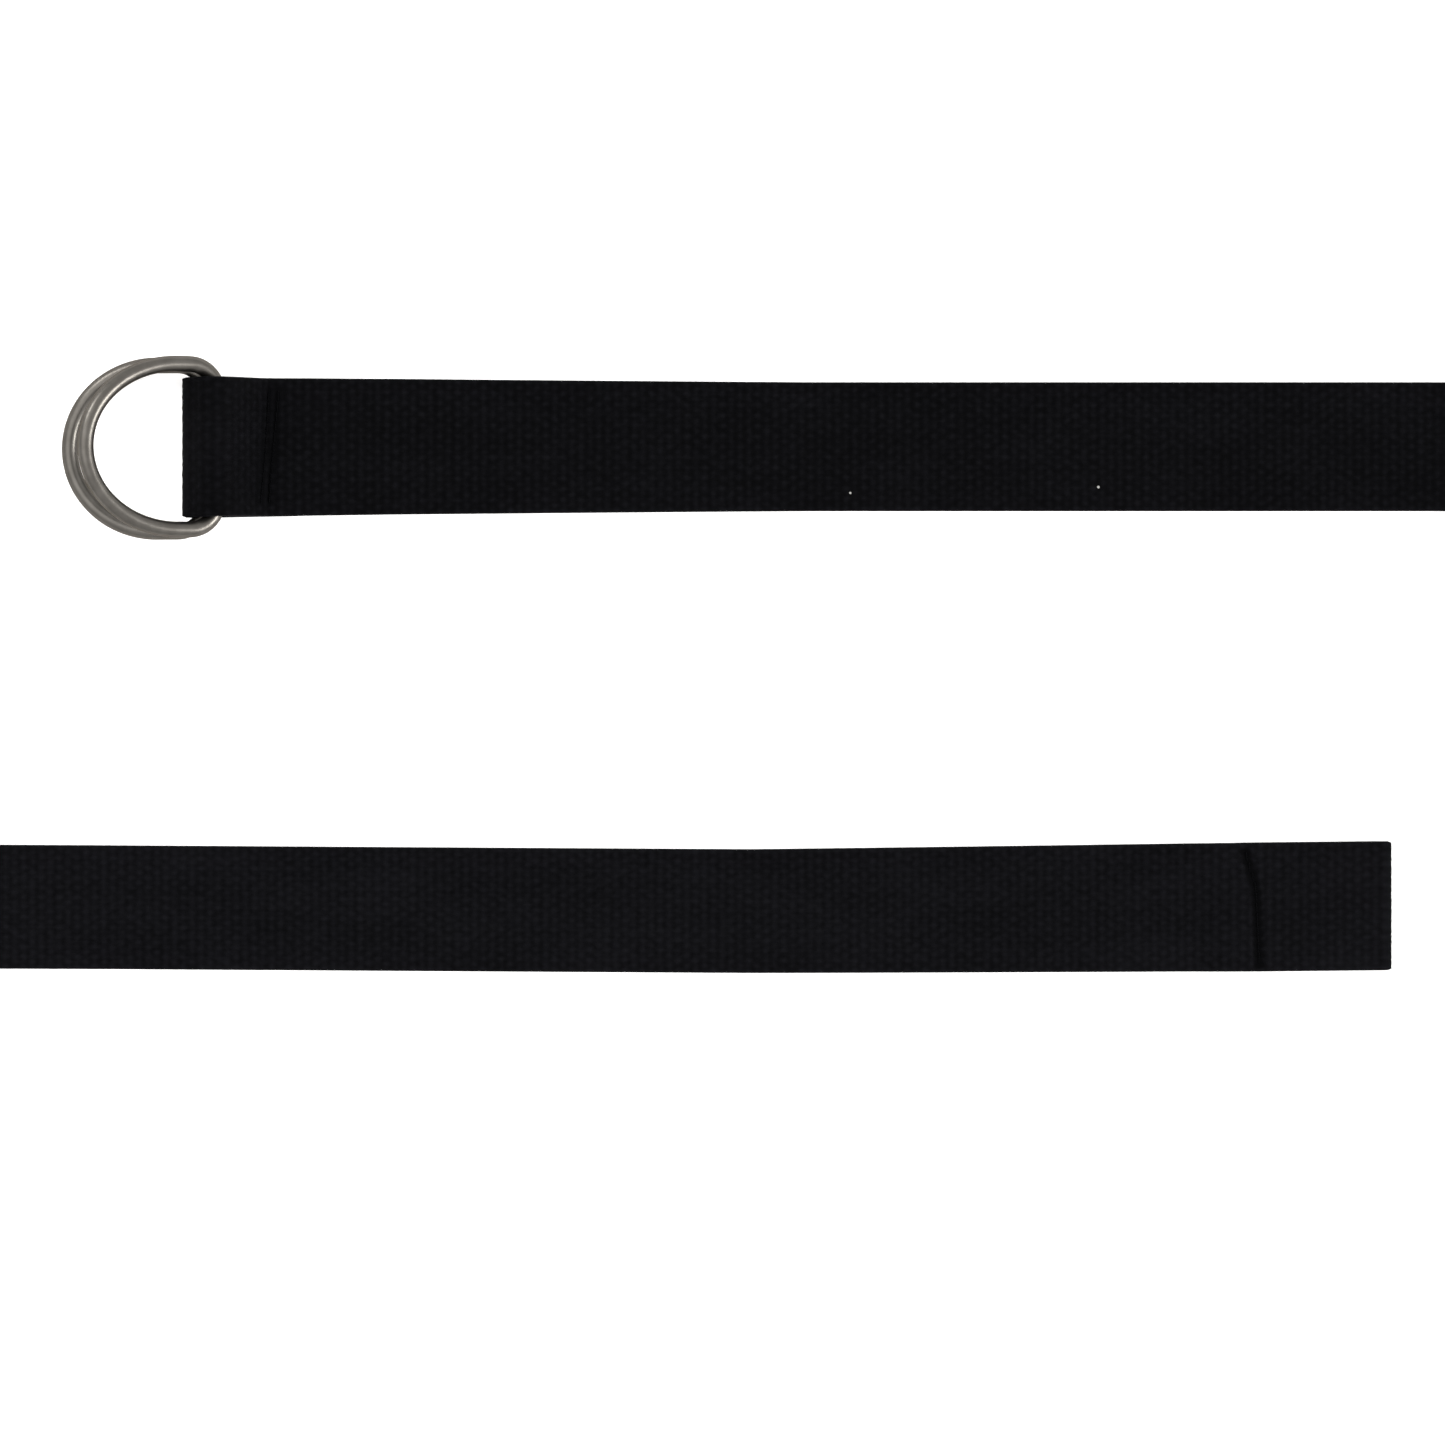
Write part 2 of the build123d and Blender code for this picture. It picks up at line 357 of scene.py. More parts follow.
def bonded_thread():
    """Black sewing thread: plies twisted round each other, a little smoother than the webbing."""
    material, tree, surface = new_material("bonded_thread")
    place = tree.node("ShaderNodeTexCoord", None, None, "Object")
    twist = tree.node(
        "ShaderNodeTexWave",
        {"wave_type": "BANDS", "bands_direction": "DIAGONAL"},
        {"Vector": place, "Scale": 900.0, "Distortion": 1.5},
        "Fac",
    )
    colour = tree.blend(twist, (0.0004, 0.0004, 0.0006, 1), (0.0016, 0.0016, 0.002, 1))
    bump = tree.node(
        "ShaderNodeBump", None, {"Strength": 0.6, "Distance": 0.05 * MM, "Height": twist}
    )
    shader = tree.node(
        "ShaderNodeBsdfPrincipled",
        None,
        {
            "Base Color": colour,
            "Roughness": 0.75 - 0.12 * twist,
            "Specular IOR Level": 0.015,
            "Normal": bump,
        },
    )
    tree.feed(surface, shader)
    return material


def satin_nickel():
    """Nickel plate on welded wire: drawn lines along the wire, clouding, and small scuffs."""
    material, tree, surface = new_material("satin_nickel")
    wire = tree.node("ShaderNodeAttribute", {"attribute_name": "wire"}, None, "Vector")
    object_place = tree.node("ShaderNodeTexCoord", None, None, "Object")
    drawn_place = tree.node(
        "ShaderNodeVectorMath", {"operation": "MULTIPLY"}, {0: wire, 1: (140.0, 4200.0, 4200.0)}
    )
    drawn = tree.node(
        "ShaderNodeTexNoise", None, {"Vector": drawn_place, "Scale": 1.0, "Detail": 3.0}
    )
    cloud = tree.node(
        "ShaderNodeTexNoise", None, {"Vector": object_place, "Scale": 260.0, "Detail": 3.0}
    )
    grain = tree.node(
        "ShaderNodeTexNoise", None, {"Vector": object_place, "Scale": 2600.0, "Detail": 2.0}
    )
    scuff_place = tree.node(
        "ShaderNodeVectorMath", {"operation": "MULTIPLY"}, {0: wire, 1: (900.0, 260.0, 260.0)}
    )
    scuff_noise = tree.node(
        "ShaderNodeTexNoise",
        None,
        {"Vector": scuff_place, "Scale": 1.0, "Detail": 4.0, "Distortion": 0.6},
    )
    scuff = tree.ramp(scuff_noise, 0.60, 0.68)
    plate = tree.blend(
        tree.ramp(cloud, 0.3, 0.75), (0.082, 0.077, 0.070, 1), (0.101, 0.095, 0.087, 1)
    )
    colour = tree.blend(scuff * 0.25, plate, (0.07, 0.066, 0.060, 1))
    height = 0.35 * drawn + 0.3 * grain - 0.15 * scuff
    bump = tree.node(
        "ShaderNodeBump", None, {"Strength": 0.15, "Distance": 0.02 * MM, "Height": height}
    )
    shader = tree.node(
        "ShaderNodeBsdfPrincipled",
        None,
        {
            "Base Color": colour,
            "Metallic": 1.0,
            "Roughness": 0.32 + 0.06 * cloud + 0.06 * scuff,
            "Specular Tint": (0.42, 0.40, 0.38, 1),
            "Normal": bump,
        },
    )
    tree.feed(surface, shader)
    return material


def pale_table():
    """Plain matt table, lit a little from within so that it stays white close to the strap."""
    material, tree, surface = new_material("pale_table")
    shader = tree.node(
        "ShaderNodeBsdfPrincipled",
        None,
        {
            "Base Color": (0.93, 0.93, 0.93, 1),
            "Roughness": 0.9,
            "Specular IOR Level": 0.1,
            "Emission Color": (1, 1, 1, 1),
            "Emission Strength": 0.25,
        },
    )
    tree.feed(surface, shader)
    return material


# ---------------------------------------------------------------------------
# Camera, table and light
# ---------------------------------------------------------------------------
def place_camera():
    """Straight above the strap's two ends, from far enough to be nearly without perspective."""
    data = bpy.data.cameras.new("camera")
    data.sensor_width = SENSOR
    data.lens = SENSOR * CAMERA_HEIGHT / VIEW_SIZE
    data.clip_end = 100.0
    camera = bpy.data.objects.new("camera", data)
    camera.location = (0, HEAD_Y - VIEW_DROP, CAMERA_HEIGHT)
    bpy.context.scene.collection.objects.link(camera)
    bpy.context.scene.camera = camera


def lay_table():
    """A table top far larger than the strap."""
    mesh = bpy.data.meshes.new("table")
    bm = bmesh.new()
    bmesh.ops.create_grid(bm, x_segments=1, y_segments=1, size=15)
    bm.to_mesh(mesh)
    bm.free()
    mesh.materials.append(pale_table())
    table = bpy.data.objects.new("table", mesh)
    bpy.context.scene.collection.objects.link(table)


def light_room():
    """A pale room, dimmer at the horizon, with one broad light and two small low ones."""
    world = bpy.data.worlds.new("room")
    world.use_nodes = True
    world.node_tree.nodes.clear()
    tree = Tree(world.node_tree)
    direction = tree.node("ShaderNodeTexCoord", None, None, "Generated")
    height = tree.node("ShaderNodeSeparateXYZ", None, {"Vector": direction}, "Z")
    strength = tree.ramp(height, 0.0, 0.4, 0.75, 1.45)
    for aim, edge, core, power in LIGHTS:
        facing = tree.node(
            "ShaderNodeVectorMath",
            {"operation": "DOT_PRODUCT"},
            {0: direction, 1: Vector(aim).normalized()},
            "Value",
        )
        strength = strength + tree.ramp(facing, edge, core, 0.0, power)
    background = tree.node(
        "ShaderNodeBackground", None, {"Color": (1.0, 0.99, 0.975, 1), "Strength": strength}
    )
    tree.node("ShaderNodeOutputWorld", None, {"Surface": background})
    bpy.context.scene.world = world
    bpy.context.scene.view_settings.view_transform = "Standard"


place_camera()
lay_table()
light_room()


# ---------------------------------------------------------------------------
# Webbing
# ---------------------------------------------------------------------------
class SideView:
    """The middle line of the webbing seen from its edge, drawn by going forward and turning."""

    def __init__(self, x, z, heading):
        self.points = [(x, z, heading)]

    def forward(self, length, step=1.0 * MM):
        x, z, heading = self.points[-1]
        count = max(1, math.ceil(length / step))
        for i in range(1, count + 1):
            done = length * i / count
            self.points.append((x + done * math.cos(heading), z + done * math.sin(heading), heading))

    def turn(self, radius, heading):
        """Along an arc to a new heading, to the right where that is the smaller angle."""
        x, z, start = self.points[-1]
        side = 1 if heading > start else -1
        centre_x = x - side * radius * math.sin(start)
        centre_z = z + side * radius * math.cos(start)
        count = max(6, math.ceil(abs(heading - start) / math.radians(5)))
        for i in range(1, count + 1):
            now = start + (heading - start) * i / count
            self.points.append(
                (centre_x + side * radius * math.sin(now), centre_z - side * radius * math.cos(now), now)
            )

    def slope(self, length, rise, step=1.0 * MM):
        """A smooth change of level."""
        x, z, heading = self.points[-1]
        count = math.ceil(length / step)
        for i in range(1, count + 1):
            t = i / count
            steepness = math.atan2(6 * t * (1 - t) * rise, length)
            self.points.append((x + length * t, z + rise * ease(t), steepness))

    def finish(self, known_along, from_end):
        """Sets the distance along the webbing, which is known at one end."""
        line = np.array(self.points)
        steps = np.hypot(np.diff(line[:, 0]), np.diff(line[:, 1]))
        along = np.concatenate([[0.0], np.cumsum(steps)])
        offset = known_along - (along[-1] if from_end else along[0])
        self.x, self.z, self.heading = line.T
        self.along = along + offset
        return self

    def at(self, along):
        """Place and upward direction at a distance along the webbing."""
        heading = np.interp(along, self.along, self.heading)
        x = np.interp(along, self.along, self.x)
        z = np.interp(along, self.along, self.z)
        return x, z, -np.sin(heading), np.cos(heading)


def ease(t):
    """Smooth step from 0 to 1."""
    t = np.clip(t, 0.0, 1.0)
    return t * t * (3 - 2 * t)


def tangent_heading(step, offset):
    """Heading of a line that passes a point at a given distance on its left."""
    return math.atan2(step.y, step.x) - math.asin(offset / step.length)


def head_side_view():
    """From the cut end of the under ply, round both bars, to the head run on the table."""
    cut_x = head_seam.x + SEAM_TO_CUT
    lower = Vector((lower_bar.x, lower_bar.z))
    upper = Vector((upper_bar.x, upper_bar.z))
    lower_radius = LOWER_POCKET + THICK / 2
    upper_radius = UPPER_POCKET + THICK / 2
    tip = Vector((head_seam.x - SEAM_TO_TIP, THICK))
    bars_apart = (upper - lower).length
    step_in = math.asin((lower_radius - upper_radius) / bars_apart)
    between = tangent_heading(upper - lower, lower_radius - upper_radius)
    down = tangent_heading(tip - upper, UPPER_POCKET)
    view = SideView(cut_x, THICK / 2, math.pi)
    view.forward(cut_x - lower.x)
    view.turn(lower_radius, between)
    view.forward(bars_apart * math.cos(step_in))
    view.turn(upper_radius, down)
    drop = view.points[-1][1] - 1.5 * THICK - HOLLOW * (1 - math.cos(down))
    view.forward(drop / math.sin(-down))
    view.turn(HOLLOW, 0.0)
    view.forward(cut_x + RAMP_START - view.points[-1][0])
    view.slope(HEAD_RAMP - RAMP_START, -THICK)
    view.forward(HEAD_JOIN - view.points[-1][0])
    return view.finish(HEAD_JOIN, True)


def hem_side_view():
    """From the tail run on the table, up on to the under ply, and round the tail end."""
    cut_x = tail_seam.x - SEAM_TO_CUT
    view = SideView(TAIL_JOIN - TAIL_START, THICK / 2, 0.0)
    view.forward(cut_x - HEM_RAMP - view.points[-1][0])
    view.slope(HEM_RAMP - RAMP_START, THICK)
    view.forward(TAIL_END_X - THICK - view.points[-1][0])
    view.turn(THICK / 2, -math.pi)
    view.forward(view.points[-1][0] - cut_x)
    return view.finish(TAIL_JOIN, False)


head_view = head_side_view()
hem_view = hem_side_view()
STRAP_START = head_view.along[0]
STRAP_END = hem_view.along[-1]
LOOP_TOP = head_view.along[np.argmax(head_view.z)]


def level_place(along):
    """Distance along the strap at the same place in X, so that under plies match upper ones."""
    place = np.where(along < HEAD_JOIN, np.interp(along, head_view.along, head_view.x), along)
    hem = TAIL_START + np.interp(along, hem_view.along, hem_view.x)
    return np.where(along > TAIL_JOIN, hem, place)


def half_width(along):
    """Half the webbing's width: wider towards the head loop, and narrow at the tail's waist."""
    place = level_place(along)
    spread = HEAD_SPREAD * np.clip(1 - (place - FOLD_X) / SPREAD_OVER, 0, 1) ** 1.15
    narrow = TAIL_NARROWING * ease((place - FOLD_AT[1]) / (FOLD_AT[2] - FOLD_AT[1]))
    recover = TAIL_NARROWING * np.clip((place - TAIL_START - TAIL_WAIST) / RECOVERY, 0, 1)
    return HALF + spread - narrow + recover


def bow(along):
    """How far the middle line strays from straight, to the left of the run's direction."""
    place = level_place(along)
    x = place - TAIL_START - TAIL_WAIST
    before, after = (
        rise * (np.abs(x) / over) ** power for rise, over, power in (BOW_BEFORE, BOW_AFTER)
    )
    rise = np.where(x < 0, before, after)
    tail = (rise - BOW_SINK) * ease((place - FOLD_AT[3] + BOW_START) / BOW_EASE)
    head = -HEAD_BOW * np.clip(1 - (place - FOLD_X) / HEAD_BOW_OVER, 0, 1)
    return tail + head


def lay(along, across, height):
    """Where a point of the flat webbing lies on the strap. height is from its middle surface."""
    point = np.zeros((len(along), 3))
    head = along < HEAD_JOIN
    hem = along > TAIL_JOIN
    for view, run_y, part in ((head_view, HEAD_Y, head), (hem_view, TAIL_Y, hem)):
        x, z, up_x, up_z = view.at(along[part])
        point[part, 0] = x + height[part] * up_x
        point[part, 1] = run_y + across[part]
        point[part, 2] = z + height[part] * up_z
    nearest = np.argmin([np.abs(along - at) for at in FOLD_AT], axis=0)
    for i, corner in enumerate(FOLD_CORNERS):
        part = (nearest == i) & ~head & ~hem
        point[part] = lay_at_fold(i, corner, along[part], across[part], height[part])
    return point


def lay_at_fold(i, corner, along, across, height):
    """Lays the webbing that comes to a flat fold, turns over there, and leaves it."""
    coming = FOLD_HEADINGS[i]
    leaving = FOLD_HEADINGS[i + 1]
    left = Vector((-coming.y, coming.x))
    outward = (coming + left) / math.sqrt(2)
    face = 1 if i % 2 == 0 else -1
    u = along - FOLD_AT[i]
    v = across * face
    h = height * face
    beyond = (u + v) / math.sqrt(2)
    half_bend = math.pi * FOLD_RADIUS / 2
    angle = np.clip((beyond + half_bend) / FOLD_RADIUS, 0, math.pi)
    after = beyond >= half_bend

    # Before the bend and in it: on the incoming plane, then round the bend's axis
    inward = np.maximum(beyond + half_bend, 0.0)
    out = (FOLD_RADIUS - h) * np.sin(angle)
    x = corner.x + u * coming.x + v * left.x + (out - inward) * outward.x
    y = corner.y + u * coming.y + v * left.y + (out - inward) * outward.y
    z = THICK / 2 + FOLD_RADIUS - (FOLD_RADIUS - h) * np.cos(angle)

    # After it: turned over on the outgoing run, which comes down to the table
    leaving_left = Vector((-leaving.y, leaving.x))
    down = ease((u - HALF - FOLD_LAP) / RAMP)
    x = np.where(after, corner.x + u * leaving.x - v * leaving_left.x, x)
    y = np.where(after, corner.y + u * leaving.y - v * leaving_left.y, y)
    z = np.where(after, UPPER_LEVEL * (1 - down) + THICK / 2 - h, z)
    return np.column_stack([x, y, z])


def head_lean(y):
    """How far the head seam strays along X, at a distance from the run's middle line."""
    return 0.09 * y - 2.0 * MM


def tail_lean(y):
    """The same for the tail seam, which veers off at one end."""
    return -0.045 * y - 0.4 * MM - 2.6 * MM * ease((y - 4 * MM) / (14 * MM))


# For each seam: place, the run's middle line, its rows, how it strays, half the width it draws
# in, and how hard it pulls
SEAMS = {
    "head": (head_seam, HEAD_Y, HEAD_ROWS, head_lean, 3.3 * MM, 0.55),
    "tail": (tail_seam, TAIL_Y, (0.0,), tail_lean, 2.7 * MM, 1.0),
}


def seam_dent(point):
    """How deep the seams draw the webbing in, from 0 to 1."""
    dent = np.zeros(len(point))
    for seam, run_y, rows, lean, width, pull in SEAMS.values():
        y = point[:, 1] - run_y
        ends = 1 - 0.6 * ease((np.abs(y) - STITCHES * PITCH / 2) / (2 * MM))
        stitches = 0.8 + 0.2 * np.cos(math.tau * y / PITCH + math.pi * (STITCHES % 2))
        for row in rows:
            x = np.abs(point[:, 0] - seam.x - row - lean(y))
            here = pull * (np.abs(y) < 25 * MM) * ends * stitches
            dent = np.maximum(dent, (1 - ease(x / width)) * here)
    return dent


FINE = [(j - RIBS) / RIBS for j in range(2 * RIBS + 1)]
FINE[0], FINE[-1] = -OUTERMOST, OUTERMOST
COARSE = [-OUTERMOST, -0.5, 0.0, 0.5, OUTERMOST]
FOLD_ZONE = HALF + 4 * MM


def stations():
    """Cross rows of the webbing: (distance along, fine upper face, fine lower face, fold)."""
    seam_reach = 6 * MM
    head_along = float(np.interp(head_seam.x, head_view.x[-60:], head_view.along[-60:]))
    tail_along = float(np.interp(tail_seam.x, hem_view.x[:60], hem_view.along[:60]))
    end_bend = float(hem_view.along[np.argmax(hem_view.x)])
    loop_start = float(head_view.along[np.argmin(head_view.x)]) - 8 * MM
    spans = [
        (STRAP_START, loop_start, 2 * STATION, False, False),
        (loop_start, head_along - seam_reach, STATION, True, False),
        (head_along - seam_reach, head_along + seam_reach, STATION / 2, True, False),
        (head_along + seam_reach, FOLD_AT[0] - FOLD_ZONE, STATION, True, False),
        (FOLD_AT[0] + FOLD_ZONE, FOLD_AT[1] - FOLD_ZONE, 2 * STATION, False, True),
        (FOLD_AT[1] + FOLD_ZONE, FOLD_AT[2] - FOLD_ZONE, 2 * STATION, True, False),
        (FOLD_AT[2] + FOLD_ZONE, FOLD_AT[3] - FOLD_ZONE, 2 * STATION, False, True),
        (FOLD_AT[3] + FOLD_ZONE, tail_along - seam_reach, STATION, True, False),
        (tail_along - seam_reach, tail_along + seam_reach, STATION / 2, True, False),
        (tail_along + seam_reach, end_bend - THICK, STATION, True, False),
        (end_bend - THICK, end_bend + THICK, STATION / 3, True, False),
        (end_bend + THICK, STRAP_END, 2 * STATION, False, False),
    ]
    rows = [(STRAP_START, False, False, None)]
    for start, end, step, upper, lower in spans:
        first = math.ceil(start / step)
        rows += [(k * step, upper, lower, None) for k in range(first, math.ceil(end / step))]
    for i, at in enumerate(FOLD_AT):
        count = round(FOLD_ZONE / (HALF / RIBS))
        rows += [(at + k * HALF / RIBS, True, True, i) for k in range(-count, count + 1)]
    rows.append((STRAP_END, False, False, None))
    rows.sort(key=lambda row: row[0])
    kept = [rows[0]]
    for row in rows[1:]:
        close = row[0] - kept[-1][0] < CLOSEST_ROWS
        if not close:
            kept.append(row)
        elif row[3] is not None or row is rows[-1]:
            kept[-1] = row
    return kept


def zip_rows(first, second, first_at, second_at):
    """Triangles between two rows of vertices that may have different numbers of them."""
    faces = []
    i = j = 0
    while i < len(first) - 1 or j < len(second) - 1:
        step_first = j == len(second) - 1 or (
            i < len(first) - 1 and first_at[i + 1] + first_at[i] <= second_at[j + 1] + second_at[j]
        )
        if step_first:
            faces.append((first[i], first[i + 1], second[j]))
            i += 1
        else:
            faces.append((first[i], second[j + 1], second[j]))
            j += 1
    return faces


def face_between(first, second, first_at, second_at, fold):
    """Faces of one side of the webbing between two rows."""
    if len(first) != len(second):
        return zip_rows(first, second, first_at, second_at)
    faces = []
    for j in range(len(first) - 1):
        a, b, c, d = first[j], first[j + 1], second[j + 1], second[j]
        if fold is None:
            faces.append((a, b, c, d))
        elif fold % 2 == 0:
            faces += [(a, b, d), (b, c, d)]
        else:
            faces += [(a, b, c), (a, c, d)]
    return faces


def lay_webbing():
    """The whole strap as one closed mesh, smooth, with what the weave needs as attributes."""
    rows = stations()
    along, across, height, detail, faces = [], [], [], [], []
    laid = []
    for at, upper, lower, fold in rows:
        width = float(half_width(np.array(at)))
        stray = float(bow(np.array(at)))
        ring = []
        for side, fine in ((1, upper), (-1, lower)):
            places = FINE if fine else COARSE
            first = len(along)
            for place in places:
                along.append(at)
                across.append(place)
                height.append(side * (THICK / 2 - (0 if fine else RELIEF / 2)))
                detail.append(1.0 if fine else 0.0)
            ring.append((list(range(first, len(along))), places))
        edges = []
        for place in (-1.0, 1.0):
            edges.append(len(along))
            along.append(at)
            across.append(place)
            height.append(0.0)
            detail.append(0.0)
        laid.append((ring, edges, fold, width, stray, len(along)))

    along = np.array(along)
    across = np.array(across)
    height = np.array(height)
    counts = np.diff([0] + [row[5] for row in laid])
    width = np.repeat([row[3] for row in laid], counts)
    stray = np.repeat([row[4] for row in laid], counts)
    middle_surface = lay(along, across * width + stray, np.zeros(len(along)))
    dent = seam_dent(middle_surface)
    on_hidden_ply = (along < STRAP_START + HEAD_UNDER) | (along > STRAP_END - TAIL_UNDER)
    depth = np.where(on_hidden_ply, HIDDEN_DENT, SEAM_DENT) * dent * np.sign(height)
    depth = np.where((height < 0) & ~on_hidden_ply, 0.0, depth)
    points = lay(along, across * width + stray, height - depth)

    for (ring, edges, fold, *_), (ring_2, edges_2, fold_2, *_) in zip(laid, laid[1:]):
        same_fold = fold if fold == fold_2 else None
        (upper, upper_at), (lower, lower_at) = ring
        (upper_2, upper_at_2), (lower_2, lower_at_2) = ring_2
        faces += [f[::-1] for f in face_between(upper, upper_2, upper_at, upper_at_2, same_fold)]
        faces += face_between(lower, lower_2, lower_at, lower_at_2, same_fold)
        faces.append((upper[0], edges[0], edges_2[0], upper_2[0])[::-1])
        faces.append((edges[0], lower[0], lower_2[0], edges_2[0])[::-1])
        faces.append((upper[-1], edges[1], edges_2[1], upper_2[-1]))
        faces.append((edges[1], lower[-1], lower_2[-1], edges_2[1]))
    for (ring, edges, *_), flip in ((laid[0], False), (laid[-1], True)):
        (upper, _), (lower, _) = ring
        caps = [(upper[0], lower[0], edges[0]), (upper[-1], edges[1], lower[-1])]
        caps += [(a, b, d, c) for a, b, c, d in zip(upper, upper[1:], lower, lower[1:])]
        faces += [f[::-1] for f in caps] if flip else caps

    mesh = bpy.data.meshes.new("webbing_flat")
    mesh.from_pydata(points.tolist(), [], faces)
    mesh.validate()
    for name, values in (
        ("along", along),
        ("across", across * HALF),
        ("detail", np.array(detail) * (1 - 0.7 * dent)),
        # seam carries the seam dent to the material, which paints shade into the grooves with it
        ("seam", dent),
    ):
        mesh.attributes.new(name, "FLOAT", "POINT").data.foreach_set("value", values.astype(np.float32))
    mesh.shade_smooth()
    bm = bmesh.new()
    bm.from_mesh(mesh)
    bmesh.ops.recalc_face_normals(bm, faces=bm.faces)
    bm.to_mesh(mesh)
    bm.free()
    return mesh


def weave_tree(material):
    """Geometry tree that sinks the grooves between ribs and picks into the webbing's face."""
    group = bpy.data.node_groups.new("weave", "GeometryNodeTree")
    ports = group.interface
    ports.new_socket("Webbing", in_out="INPUT", socket_type="NodeSocketGeometry")
    ports.new_socket("Relief", in_out="INPUT", socket_type="NodeSocketFloat")
    ports.new_socket("Looseness", in_out="INPUT", socket_type="NodeSocketFloat")
    ports.new_socket("Webbing", in_out="OUTPUT", socket_type="NodeSocketGeometry")
    tree = Tree(group)
    given = tree.node("NodeGroupInput", None, None, "Webbing")
    named = {"data_type": "FLOAT"}
    along = tree.node("GeometryNodeInputNamedAttribute", named, {"Name": "along"})
    across = tree.node("GeometryNodeInputNamedAttribute", named, {"Name": "across"})
    detail = tree.node("GeometryNodeInputNamedAttribute", named, {"Name": "detail"})
    place = tree.vector(along * 400.0, across * 900.0, 0.0)
    loose = tree.node("ShaderNodeTexNoise", None, {"Vector": place, "Scale": 1.0, "Detail": 1.0})
    sunk = 1.0 - woven_face(tree, along, across) + given.out("Looseness") * (loose - 0.5)
    normal = tree.node("GeometryNodeInputNormal")
    shift = tree.node(
        "ShaderNodeVectorMath",
        {"operation": "SCALE"},
        {0: normal, "Scale": -(sunk * detail * given.out("Relief"))},
    )
    woven = tree.node("GeometryNodeSetPosition", None, {"Geometry": given, "Offset": shift})
    woven = tree.node("GeometryNodeRealizeInstances", None, {"Geometry": woven})
    woven = tree.node("GeometryNodeSetMaterial", None, {"Geometry": woven, "Material": material})
    tree.node("NodeGroupOutput", None, {"Webbing": woven})
    return group


def grow(name, base, group, inputs):
    """Runs a geometry tree on a mesh and keeps the result as a plain mesh object."""
    source = bpy.data.objects.new(name + "_base", base)
    bpy.context.scene.collection.objects.link(source)
    modifier = source.modifiers.new("grow", "NODES")
    modifier.node_group = group
    for item in group.interface.items_tree:
        if item.item_type == "SOCKET" and item.in_out == "INPUT" and item.name in inputs:
            modifier[item.identifier] = inputs[item.name]
    bpy.context.view_layer.update()
    ready = source.evaluated_get(bpy.context.evaluated_depsgraph_get())
    mesh = bpy.data.meshes.new_from_object(ready)
    mesh.name = name
    piece = bpy.data.objects.new(name, mesh)
    bpy.context.scene.collection.objects.link(piece)
    bpy.data.objects.remove(source)
    return piece


webbing = grow(
    "woven_webbing",
    lay_webbing(),
    weave_tree(woven_polyester()),
    {"Relief": RELIEF, "Looseness": LOOSENESS},
)
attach(webbing, "strap")
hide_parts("webbing")


# ---------------------------------------------------------------------------
# Stitches
# ---------------------------------------------------------------------------
def stitch_tree(material):
    """Geometry tree that sets one arched stitch on each point of a seam."""
    group = bpy.data.node_groups.new("stitches", "GeometryNodeTree")
    ports = group.interface
    ports.new_socket("Seam", in_out="INPUT", socket_type="NodeSocketGeometry")
    for name in ("Pitch", "Thread radius", "Arch", "Wander"):
        ports.new_socket(name, in_out="INPUT", socket_type="NodeSocketFloat")
    ports.new_socket("Seed", in_out="INPUT", socket_type="NodeSocketInt")
    ports.new_socket("Seam", in_out="OUTPUT", socket_type="NodeSocketGeometry")
    tree = Tree(group)
    given = tree.node("NodeGroupInput", None, None, "Seam")
    half = given.out("Pitch") * 0.5
    arch = given.out("Arch")
    line = tree.node(
        "GeometryNodeCurvePrimitiveBezierSegment",
        {"mode": "POSITION"},
        {
            "Resolution": 8,
            "Start": tree.vector(0.0, -half, -arch),
            "Start Handle": tree.vector(0.0, -half * 0.8, arch * 0.6),
            "End Handle": tree.vector(0.0, half * 0.8, arch * 0.6),
            "End": tree.vector(0.0, half, -arch),
        },
    )
    section = tree.node(
        "GeometryNodeCurvePrimitiveCircle",
        {"mode": "RADIUS"},
        {"Resolution": 8, "Radius": given.out("Thread radius")},
    )
    stitch = tree.node(
        "GeometryNodeCurveToMesh", None, {"Curve": line, "Profile Curve": section, "Fill Caps": True}
    )
    stitch = tree.node("GeometryNodeSetShadeSmooth", None, {"Geometry": stitch})
    wander = given.out("Wander")
    turn = tree.node(
        "FunctionNodeRandomValue",
        {"data_type": "FLOAT_VECTOR"},
        {
            "Min": tree.vector(0.0, 0.0, -wander),
            "Max": tree.vector(0.0, 0.0, wander),
            "Seed": given.out("Seed"),
        },
    )
    set_out = tree.node(
        "GeometryNodeInstanceOnPoints", None, {"Points": given, "Instance": stitch, "Rotation": turn}
    )
    sewn = tree.node("GeometryNodeRealizeInstances", None, {"Geometry": set_out})
    sewn = tree.node("GeometryNodeSetMaterial", None, {"Geometry": sewn, "Material": material})
    tree.node("NodeGroupOutput", None, {"Seam": sewn})
    return group


def seam_points(name, seam_name, depth, upper):
    """A point at the middle of every stitch of a seam, below the webbing's face by a depth."""
    seam, _, rows, lean, *_ = SEAMS[seam_name]
    view = head_view if seam_name == "head" else hem_view
    upper_ply = np.cos(view.heading) > 0
    ply = upper_ply if upper else np.cos(view.heading) < -0.99
    if seam_name == "head":
        ply &= view.along > LOOP_TOP if upper else view.along < LOOP_TOP
    order = np.argsort(view.x[ply])
    y = (np.arange(STITCHES) - (STITCHES - 1) / 2) * PITCH
    points = []
    for row in rows:
        x = seam.x + row + lean(y)
        along = np.interp(x, view.x[ply][order], view.along[ply][order])
        points += lay(along, y + bow(along), np.full(STITCHES, THICK / 2 - depth)).tolist()
    mesh = bpy.data.meshes.new(name)
    mesh.from_pydata(points, [], [])
    return mesh


